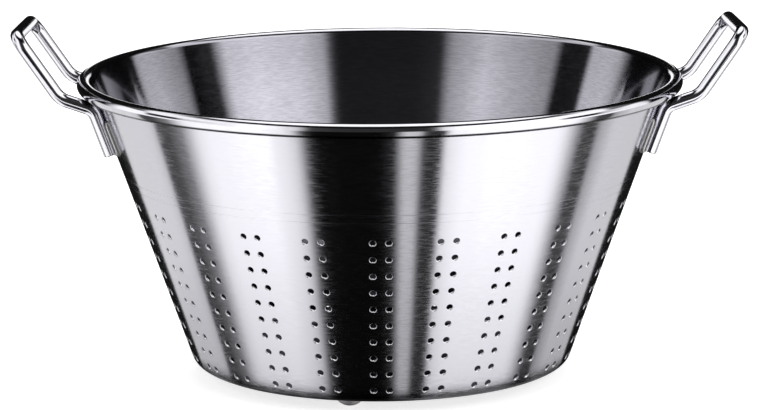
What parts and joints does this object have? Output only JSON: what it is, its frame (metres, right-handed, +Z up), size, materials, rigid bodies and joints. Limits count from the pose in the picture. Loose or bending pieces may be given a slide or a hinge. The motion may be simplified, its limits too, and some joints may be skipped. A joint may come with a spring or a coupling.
{
  "type": "conical strainer",
  "caption": "Large conical stainless-steel strainer with a flat base, curled rim, columns of punched drain holes, bent-rod loop handles and button feet.",
  "frame": {"origin": "on the bowl's axis, in the plane that the feet stand on", "axes": "+Z up along the bowl's axis, X along the line through the two handles, -Y towards the front of the picture"},
  "size_m": [0.4798, 0.399, 0.2366],
  "materials": {
    "brushed_sheet": "stainless sheet, brushed round the axis, with a bright bead",
    "polished_rod": "stainless rod, polished",
    "polished_button": "stainless button, polished",
    "weld_metal": "stainless weld bead, brushed clean"
  },
  "bodies": {
    "root": {"bowl": "brushed_sheet", "handle_left": "polished_rod", "handle_right": "polished_rod", "weld_left_front": "weld_metal", "weld_left_rear": "weld_metal", "weld_right_front": "weld_metal", "weld_right_rear": "weld_metal", "foot_front": "polished_button", "foot_rear_left": "polished_button", "foot_rear_right": "polished_button", "foot_front_weld": "weld_metal", "foot_rear_left_weld": "weld_metal", "foot_rear_right_weld": "weld_metal"}
  },
  "joints": []
}
